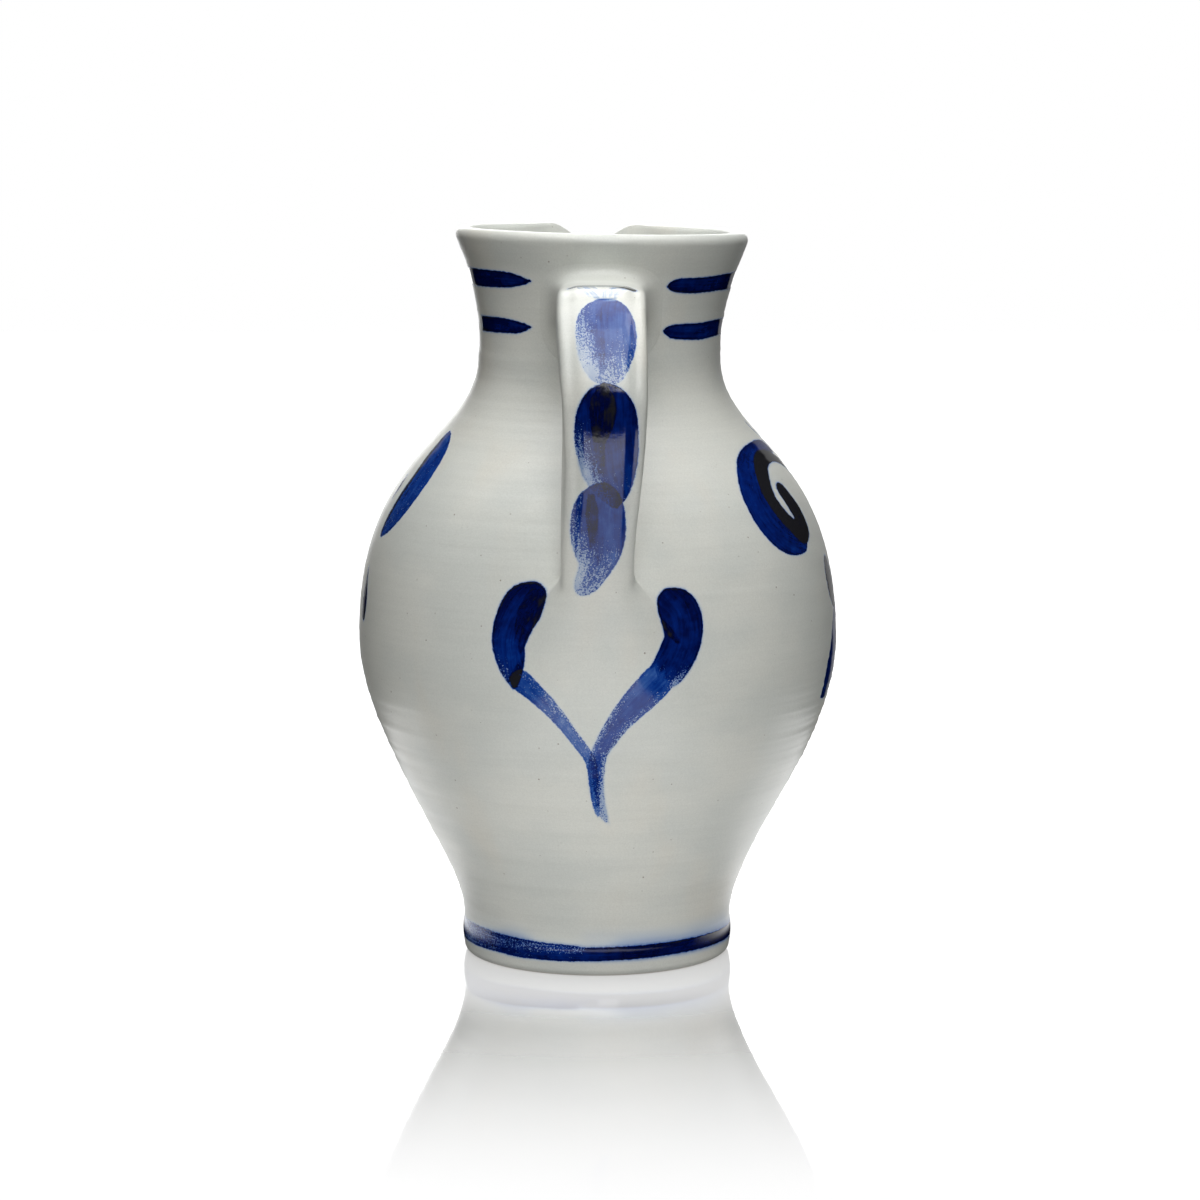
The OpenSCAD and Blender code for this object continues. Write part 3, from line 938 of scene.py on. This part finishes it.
class Nodes:
    """A short way to write a node tree."""

    def __init__(self, tree):
        self.tree = tree
        self.tree.nodes.clear()

    def add(self, kind, inputs=None, **settings):
        node = self.tree.nodes.new(kind)
        for key, value in settings.items():
            setattr(node, key, value)
        for key, value in (inputs or {}).items():
            if isinstance(value, Wire):
                self.tree.links.new(value.socket, node.inputs[key])
            else:
                node.inputs[key].default_value = value
        return node

    def get(self, kind, inputs=None, output=0, **settings):
        return Wire(self, self.add(kind, inputs, **settings).outputs[output])

    def parts(self, vector, kind="ShaderNodeSeparateXYZ"):
        return [Wire(self, socket) for socket in self.add(kind, {0: vector}).outputs]

    def math(self, op, a, b=0.0, c=0.0):
        return self.get("ShaderNodeMath", {0: a, 1: b, 2: c}, operation=op)

    def larger(self, a, b):
        return self.math("MAXIMUM", a, b)

    def ramp(self, x, low, high, to_low=0.0, to_high=1.0):
        return self.get("ShaderNodeMapRange", {0: x, 1: low, 2: high, 3: to_low, 4: to_high},
                        interpolation_type="SMOOTHSTEP")

    def between(self, share, a, b):
        return self.get("ShaderNodeMix", {0: share, 2: a, 3: b}, data_type="FLOAT")

    def colour(self, share, a, b, kind="MIX"):
        return self.get("ShaderNodeMix", {0: share, 6: a, 7: b}, output=2, data_type="RGBA",
                        blend_type=kind)

    def scaled(self, vector, scale):
        return self.get("ShaderNodeVectorMath", {0: vector, 1: scale}, operation="MULTIPLY")

    def noise(self, vector, name):
        """The noise of that name in the table of noises, from 0 to 1."""
        waves, detail, rough = noises[name]
        if isinstance(waves, tuple):
            vector, waves = self.scaled(vector, waves), 1.0
        return self.get("ShaderNodeTexNoise", {"Vector": vector, "Scale": waves, "Detail": detail,
                                               "Roughness": rough})

    def swing(self, vector, name, amount):
        return (self.noise(vector, name) - 0.5)*amount

    def light(self, kind, strength):
        return self.get(kind, {"Color": rgb(1, 1, 1), "Strength": strength})

    def ray(self, kind):
        return self.get("ShaderNodeLightPath", output=kind)


def rgb(r, g, b):
    return (r, g, b, 1.0)


def new_material(name):
    material = bpy.data.materials.new(name)
    material.use_nodes = True
    return material, Nodes(material.node_tree)


clay_pale = rgb(0.655, 0.662, 0.612)
clay_cool = rgb(0.600, 0.618, 0.580)
clay_warm = rgb(0.660, 0.635, 0.560)
speck_brown = rgb(0.16, 0.12, 0.085)
raw_clay = rgb(0.58, 0.55, 0.49)
streak_tones = (rgb(0.90, 0.90, 0.90), rgb(1.08, 1.08, 1.08))
grain_tones = (rgb(0.86, 0.86, 0.86), rgb(1.14, 1.14, 1.14))

pigment_span = 1.18
pigment_steps = [
    (0.00, clay_pale), (0.10, rgb(0.47, 0.53, 0.59)), (0.25, rgb(0.17, 0.26, 0.47)),
    (0.42, rgb(0.030, 0.095, 0.34)), (0.58, rgb(0.0035, 0.036, 0.235)),
    (0.72, rgb(0.0010, 0.014, 0.140)), (0.86, rgb(0.0006, 0.0045, 0.060)),
    (1.00, rgb(0.0006, 0.0020, 0.026)), (1.10, rgb(0.013, 0.013, 0.016)),
]

# Noises of the material: (waves per millimetre, even or along each axis, detail, roughness)

noises = {
    "drift": ((0.028, 0.028, 0.040), 3.0, 0.55), "warmth": ((0.05, 0.05, 0.02), 2.0, 0.5),
    "streak": ((0.05, 0.05, 1.1), 4.0, 0.65), "grain": (2.3, 3.0, 0.75),
    "ragged edge": (0.9, 3.0, 0.6), "fine edge": (4.5, 2.0, 0.6),
    "bristles": ((0.10, 1.55, 1.0), 3.0, 0.6), "broad bristles": ((0.06, 0.30, 1.0), 1.0, 0.5),
    "pools": (0.42, 3.0, 0.6), "crumbs": (2.6, 2.0, 0.75), "halo": ((0.03, 0.03, 0.05), 2.0, 0.5),
    "smear": (0.12, 2.0, 0.5), "peel": (0.85, 2.0, 0.5), "pebble": (2.4, 2.0, 0.6),
}

# Ramps are (from, to, level before, level after). Those of edges and heights are in millimetres,
# and the others run over a noise or a density.

drift_ramp = (0.36, 0.64)
warmth_ramp = (0.54, 0.78, 0.0, 0.55)
streak_share = 0.5
specks_per_mm = 0.42
speck_size_ramp = (0.62, 1.0, 0.0, 0.10)
speck_tone_ramp = (0.0, 1.0, 0.25, 0.72)

ragged_edge = 0.55
fine_edge = 0.35
mask_ramp = (-0.20, 0.20)
bristle_swing = 0.36
broad_swing = 0.30
pool_swing = 0.34
dark_rim_ramp = (0.0, 0.85, 0.26, 0.0)
skip_bristles = 0.45
skip_crumbs = 0.85
skip_wet = 1.02
skip_dry = 0.52
bare_ramp = (-0.03, 0.05)
bare_share = 0.70
bleed_wide_ramp = (-2.2, 0.1, 0.0, 0.065)
bleed_near_ramp = (-0.75, 0.1, 0.0, 0.13)

second_share = 0.5
third_share = 0.7
halo_top_ramp = (7.0, 17.0, 1.0, 0.0)
halo_low_ramp = (2.0, 6.0)
halo_ramp = (0.35, 0.65, 0.03, 0.16)
painted_ramp = (0.0, 0.16)
raw_ramp = (0.25, 0.8, 1.0, 0.0)
raw_share = 0.8

clay_rough = 0.26
smear_rough = 0.10
grain_rough = 0.10
paint_rough = 0.06
raw_rough = 0.85
glaze_ior = 1.52
pebble_share = 0.45
streak_relief = 0.35
paint_calm = 0.72
relief_depth = 0.000035


def clay_colour(n, place):
    """Grey clay with drifts of tone, faint turning streaks, grain and small iron specks."""
    base = n.colour(n.ramp(n.noise(place, "drift"), *drift_ramp), clay_cool, clay_pale)
    base = n.colour(n.ramp(n.noise(place, "warmth"), *warmth_ramp), base, clay_warm)
    streak = n.noise(place, "streak")
    base = n.colour(streak_share, base, n.colour(streak, *streak_tones), "MULTIPLY")
    grain = n.noise(place, "grain")
    base = n.colour(1.0, base, n.colour(grain, *grain_tones), "MULTIPLY")
    cells = n.add("ShaderNodeTexVoronoi", {"Vector": place, "Scale": specks_per_mm, "Randomness": 1.0})
    size, tone, _ = n.parts(Wire(n, cells.outputs["Color"]), "ShaderNodeSeparateColor")
    speck = n.math("GREATER_THAN", n.ramp(size, *speck_size_ramp), Wire(n, cells.outputs["Distance"]))
    base = n.colour(speck*n.ramp(tone, *speck_tone_ramp), base, speck_brown)
    return base, streak, grain


def stroke_layer(n, number, place):
    """One layer of brush strokes: its mask, its density of pigment and its bleed."""
    kept = [n.parts(n.get("ShaderNodeAttribute", output="Vector", attribute_name="%s_%d" % (name, number)))
            for name in ("stroke", "brush")]
    (inside, length, across), (load, dry, _) = kept
    edge = (inside - paint_margin + n.swing(place, "ragged edge", ragged_edge)
            + n.swing(place, "fine edge", fine_edge))
    mask = n.ramp(edge, *mask_ramp)

    on_stroke = n.get("ShaderNodeCombineXYZ", {0: length, 1: across, 2: 0.0})
    bristles = n.noise(on_stroke, "bristles")
    density = (load + (bristles - 0.5)*bristle_swing + n.swing(on_stroke, "broad bristles", broad_swing)
               + n.swing(place, "pools", pool_swing) + n.ramp(edge, *dark_rim_ramp)*(load*load))

    skip = bristles*skip_bristles + n.noise(place, "crumbs")*skip_crumbs
    bare = n.ramp(skip - (skip_wet - dry*skip_dry), *bare_ramp)
    density = density*(1.0 - bare*bare_share)*mask
    bleed = (n.ramp(edge, *bleed_wide_ramp) + n.ramp(edge, *bleed_near_ramp))*load
    return mask, density, bleed


def stoneware_material():
    """Salt-glazed clay with cobalt strokes in the glaze."""
    material, n = new_material("salt_glazed_stoneware")
    place = n.scaled(n.get("ShaderNodeTexCoord", output="Object"), (1/MM, 1/MM, 1/MM))
    clay, streak, grain = clay_colour(n, place)

    masks, densities, bleeds = zip(*[stroke_layer(n, k, place) for k in (1, 2, 3)])
    mask = n.larger(n.larger(masks[0], masks[1]), masks[2])
    # The third layer holds the painted crease shade beside the handle's pad, and the brush trails on the
    # strap.
    total = (n.larger(densities[0], densities[1])
             + n.math("MINIMUM", densities[0], densities[1])*second_share + densities[2]*third_share)

    z = n.parts(place)[2]
    halo = (n.ramp(z, *halo_top_ramp)*n.ramp(z, *halo_low_ramp)
            * n.ramp(n.noise(place, "halo"), *halo_ramp))
    total = n.larger(total, n.larger(bleeds[0], bleeds[1])) + halo

    pigment = n.add("ShaderNodeValToRGB", {0: total/pigment_span})
    steps = pigment.color_ramp.elements
    for k, (at, colour) in enumerate(pigment_steps):
        step = steps[k] if k < 2 else steps.new(at/pigment_span)
        step.position = at/pigment_span
        step.color = colour
    colour = n.colour(n.ramp(total, *painted_ramp), clay, Wire(n, pigment.outputs[0]))
    raw = n.ramp(z, *raw_ramp)
    colour = n.colour(raw*raw_share, colour, raw_clay)

    rough = n.noise(place, "smear")*smear_rough + clay_rough + (grain - 0.5)*grain_rough
    rough = n.between(raw, n.between(mask, rough, paint_rough), raw_rough)
    relief = n.noise(place, "peel") + n.noise(place, "pebble")*pebble_share + streak*streak_relief
    bump = n.get("ShaderNodeBump", {"Height": relief*(1.0 - mask*paint_calm), "Strength": 1.0,
                                    "Distance": relief_depth})
    shader = n.get("ShaderNodeBsdfPrincipled", {"Base Color": colour, "Roughness": rough,
                                                "Normal": bump, "IOR": glaze_ior})
    n.add("ShaderNodeOutputMaterial", {0: shader})
    return material


# The floor is a white gloss plate to the camera. It mirrors the jug, and the mirror image fades
# out away from the foot. To the jug it is a table lit from below: a strip in front of the jug,
# a ring behind it, and further back a bright sector between two dimmer ones. Places are in
# metres from the jug's axis, with +Y away from the camera. Ramps are (from, to, level before,
# level after).

floor_size = 5.0
floor_drop = 0.00005
floor_white = 0.45
mirror_rough = 0.03
mirror_most = 0.90
mirror_fade = (0.030, 0.245, 1.0, 0.0)
mirror_start = (0.048, 0.098, 0.22, 1.0)
floor_light_far = (0.245, 0.42, 0.45, 1.0)
floor_light_behind = (0.0, 0.12, 0.0, 1.0)

strip_side = (0.073, 0.097, 1.0, 0.0)
strip_end = (-0.314, -0.290)
strip_level = (-0.260, -0.235, 2.2, 1.25)
behind_foot = (-0.10, -0.04)
ring_edge = (0.143, 0.167, 1.15, 0.0)
back_slope_left = 0.33
back_slope_right = 0.17
back_edge = (-0.03, 0.05)
back_level = (0.25, 0.75, 0.70, 2.0)
back_start = (0.26, 0.30)
dim_slope = 0.55
dim_level = (-0.03, 0.05, 0.0, 0.28)
under_jug = (0.085, 0.125, 0.45, 0.04)
clear_of_foot = (0.055, 0.095)

# What only the jug's gloss shows of it

gloss_behind = (-0.03, 0.03)
gloss_ring_edge = (0.165, 0.225, 1.5, 0.0)
gloss_ring_start = (0.045, 0.070)
gloss_start = (0.085, 0.125)


def floor_glow(n, x, y, r):
    """How bright the floor is to the jug, to its matt share and to its gloss."""
    side = n.math("ABSOLUTE", x)
    behind = n.ramp(y, *behind_foot)
    strip = (n.ramp(side, *strip_side)*n.ramp(y, *strip_end)*(1.0 - behind)
             * n.ramp(y, *strip_level))
    sector = y - n.larger(x*(-1.0/back_slope_left), x*(1.0/back_slope_right))
    back = n.ramp(sector, *back_edge)*n.ramp(y, *back_level)
    back = n.larger(back, n.ramp(y - side*(1.0/dim_slope), *dim_level))
    away = strip + back*n.ramp(y, *back_start)
    ring = behind*n.ramp(r, *ring_edge)
    to_matt = n.ramp(r, *under_jug) + n.ramp(r, *clear_of_foot)*(away + ring)
    gloss_ring = n.ramp(y, *gloss_behind)*n.ramp(r, *gloss_ring_edge)*n.ramp(r, *gloss_ring_start)
    return to_matt, n.ramp(r, *gloss_start)*away + gloss_ring


def floor_material():
    material, n = new_material("studio_floor")
    x, y, _ = n.parts(n.get("ShaderNodeTexCoord", output="Object"))
    flat = n.get("ShaderNodeCombineXYZ", {0: x, 1: y, 2: 0.0})
    r = n.get("ShaderNodeVectorMath", {0: flat}, output="Value", operation="LENGTH")
    fade = n.ramp(r, *mirror_fade)*mirror_most*n.ramp(r, *mirror_start)
    own = n.larger(n.ramp(r, *floor_light_far), n.ramp(y, *floor_light_behind))
    matt = n.get("ShaderNodeBsdfDiffuse", {"Color": rgb(floor_white, floor_white, floor_white)})
    seen = n.get("ShaderNodeAddShader", {0: matt, 1: n.light("ShaderNodeEmission", own)})
    mirror = n.get("ShaderNodeBsdfGlossy", {"Color": rgb(1, 1, 1), "Roughness": mirror_rough})
    plate = n.get("ShaderNodeMixShader", {0: fade, 1: seen, 2: mirror})
    level = n.between(n.ray("Is Glossy Ray"), *floor_glow(n, x, y, r))
    bright = n.light("ShaderNodeEmission", level)
    pick = n.get("ShaderNodeMixShader", {0: n.ray("Is Camera Ray"), 1: bright, 2: plate})
    n.add("ShaderNodeOutputMaterial", {0: pick})
    return material


def studio_floor():
    mesh = bpy.data.meshes.new("studio_floor")
    h = floor_size/2
    mesh.from_pydata([(x, y, -floor_drop) for x, y in ((-h, -h), (h, -h), (h, h), (-h, h))], [],
                     [(0, 1, 2, 3)])
    mesh.materials.append(floor_material())
    floor = linked("studio_floor", mesh)


# The lit windows of the studio as the jug sees them. Each is (azimuth from the camera's side,
# half its width, lowest and highest elevation, level), in degrees.

studio_windows = [(10, 9, 11, 24, 4.6), (0, 15, 24, 45, 1.6), (0, 15, 45, 70, 1.1),
                  (-75, 30, 45, 75, 1.3), (75, 30, 45, 75, 1.3), (184, 14, -5, 60, 2.4),
                  (180, 29, -5, 40, 0.28)]
window_soft = math.radians(1.0)
room_level = 0.01

# The lamps: name, place and aim in metres, size in metres, watts

studio_lamps = [("overhead", (0.0, -0.60, 1.0), (0.0, -0.599, 0.0), (0.9, 1.0), 7.4),
                ("above_lip", (0.0, 0.10, 1.0), (0.0, 0.101, 0.0), (0.9, 0.4), 3.2),
                ("high_front", (0.0, -1.40, 0.875), (0.0, 0.0, 0.12), (0.9, 0.62), 4.0)]


def studio_world():
    """White to the camera; else a dim room with lit windows."""
    world = bpy.data.worlds.new("studio")
    bpy.context.scene.world = world
    world.use_nodes = True
    n = Nodes(world.node_tree)
    x, y, z = n.parts(n.get("ShaderNodeTexCoord", output="Generated"))
    turn = n.math("ARCTAN2", x, y*-1.0)
    tilt = n.math("ARCSINE", z)
    lit = room_level
    for *angles, level in studio_windows:
        middle, half, low, high = map(math.radians, angles)
        away = n.math("ABSOLUTE", n.math("WRAP", turn - middle, math.pi, -math.pi))
        across = n.ramp(away, half - window_soft, half + window_soft, level, 0.0)
        above = n.ramp(tilt, low - window_soft, low + window_soft)
        below = n.ramp(tilt, high - window_soft, high + window_soft, 1.0, 0.0)
        lit = across*(above*below) + lit
    clear = n.larger(n.ray("Is Camera Ray"), n.ray("Is Transmission Ray"))
    back = n.light("ShaderNodeBackground", n.between(clear, lit, 1.0))
    n.add("ShaderNodeOutputWorld", {0: back})


def softbox(name, place, aim, size, watts):
    data = bpy.data.lights.new(name, "AREA")
    data.shape = "RECTANGLE"
    data.size, data.size_y = size
    data.energy = watts
    lamp = linked(name, data)
    lamp.location = place
    x, y, z = np.array(aim) - np.array(place)
    lamp.rotation_euler = (math.atan2(math.hypot(x, y), -z), 0.0, math.atan2(y, x) - math.pi/2)


# The photo's camera: about 5.3 jug heights away, a little above the rim

camera_place = (0.0008, -1.011, 0.2291)
camera_down = 7.67
focal_px = 3890.0
image_px = 1200.0
sensor_mm = 36.0
camera_sees_to = 50.0


def photo_camera():
    data = bpy.data.cameras.new("photo_camera")
    data.sensor_fit = "HORIZONTAL"
    data.sensor_width = sensor_mm
    data.lens = focal_px*sensor_mm/image_px
    data.clip_end = camera_sees_to
    camera = linked("photo_camera", data)
    camera.location = camera_place
    camera.rotation_euler = (math.radians(90 - camera_down), 0.0, 0.0)
    bpy.context.scene.camera = camera


# The pieces

def pot_place(points):
    """Where points lie on the pot: [angle, length up the outline], and their radius."""
    angle = np.degrees(np.arctan2(points[:, 0], -points[:, 1]))
    return np.stack([angle, pot_arc(points[:, 2])], -1), out_from_axis(points)


def strap_place(points):
    """Where points lie on the strap: [across, length down its back from the crest]."""
    length = np.zeros(len(points))
    for part in np.array_split(np.arange(len(points)), len(points)//points_at_once + 1):
        d = np.hypot(-points[part, 1][:, None] - rail_points[:, 0],
                     points[part, 2][:, None] - rail_points[:, 1])
        length[part] = rail_arc[d.argmin(1)]
    return np.stack([points[:, 0], length], -1)


def middles(rings):
    return rings[0].mean(0), rings[-1].mean(0)


def make_body(material):
    rows, is_outside, ends = pot_rows()
    piece = ring_mesh("jug_body", rows, ends, True)
    place, radius = pot_place(all_points(rows, ends))
    seen = np.r_[np.repeat(is_outside, rows.shape[1]), False, False]
    layers = [lay_layer(layer, place, radius, k) for k, layer in enumerate(pot_layers)]
    for store in layers:
        store["edge"] = np.where(seen, store["edge"], 0.0)
    store_paint(piece, layers)
    finish_piece(piece, material, "body")


def make_handle(material):
    s = np.sin(np.radians(section_turns))
    shares = np.clip(s, 0, 1), np.clip(-s, 0, 1)
    luting, strap = luting_rings(*shares), strap_rings(*shares)
    finish_piece(ring_mesh("luting_clay", luting, middles(luting), False), material, "luting_coil")

    piece = ring_mesh("strap_handle", strap, middles(strap), False)
    points = all_points(strap, middles(strap))
    place = strap_place(points)
    on_back = np.r_[np.tile(s > 0, len(strap)), False, False]
    layers = [lay_layer(layer, place, None, len(pot_layers) + 1 + k) for k, layer in enumerate(strap_layers)]
    for store in layers:
        store["edge"] = np.where(on_back, store["edge"], 0.0)
    near_pot = (pot_distance(points) < pad_paint_reach) & (points[:, 2] < pad_paint_top_z)
    place, radius = pot_place(points)
    for k, layer in enumerate(pot_layers):
        over = lay_layer(layer, place, radius, k)
        take = near_pot & (over["edge"] > layers[k]["edge"])
        for key in over:
            layers[k][key] = np.where(take, over[key], layers[k][key])
    store_paint(piece, layers)
    finish_piece(piece, material, "handle")


def finish_piece(piece, material, node):
    piece.data.materials.append(material)
    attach(piece, "root")
    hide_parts(node)


stoneware = stoneware_material()
make_body(stoneware)
make_handle(stoneware)
studio_floor()
studio_world()
for lamp in studio_lamps:
    softbox(*lamp)
photo_camera()
bpy.context.scene.view_settings.view_transform = "Standard"
